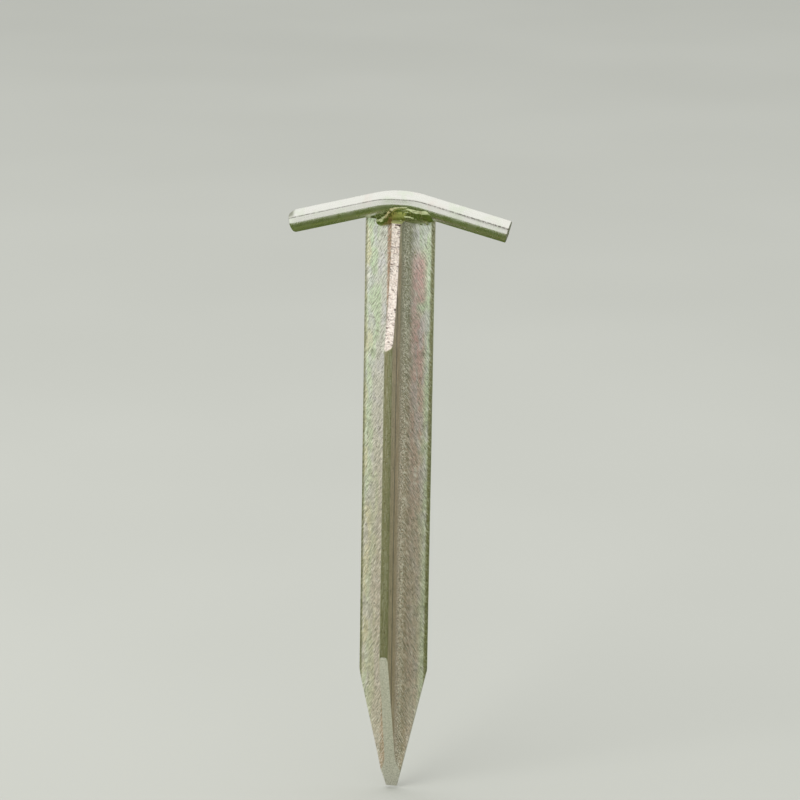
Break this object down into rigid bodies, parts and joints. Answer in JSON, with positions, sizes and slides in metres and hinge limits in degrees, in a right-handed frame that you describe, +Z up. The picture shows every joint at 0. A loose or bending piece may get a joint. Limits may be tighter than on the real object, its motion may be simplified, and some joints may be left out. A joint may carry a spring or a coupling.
{
  "type": "tent stake",
  "caption": "Heavy steel ground stake of T-section with a scooped stem and a drooping round-bar handle welded across its top.",
  "frame": {"origin": "middle of the bounding box's floor, level with the tip of the point; the middle plane of the shaft is X = 0", "axes": "+Z up the shaft to the handle, X along the handle, +Y out of the flat back of the flange, -Y the way the stem of the T points"},
  "size_m": [0.08, 0.025, 0.225],
  "materials": {
    "plated_section": "zinc plated over mill-scaled hot-rolled steel, satin, with fine scratches and a faint green and pink cast",
    "plated_bar": "zinc plated drawn round bar, smoother than the section, with lengthwise die lines",
    "plated_weld": "zinc plated weld metal, rippled and lumpy, glossy"
  },
  "bodies": {
    "root": {"shaft": "plated_section", "handle": "plated_bar", "weld_front_left": "plated_weld", "weld_over_stem": "plated_weld", "weld_front_right": "plated_weld", "weld_rear": "plated_weld"}
  },
  "joints": []
}
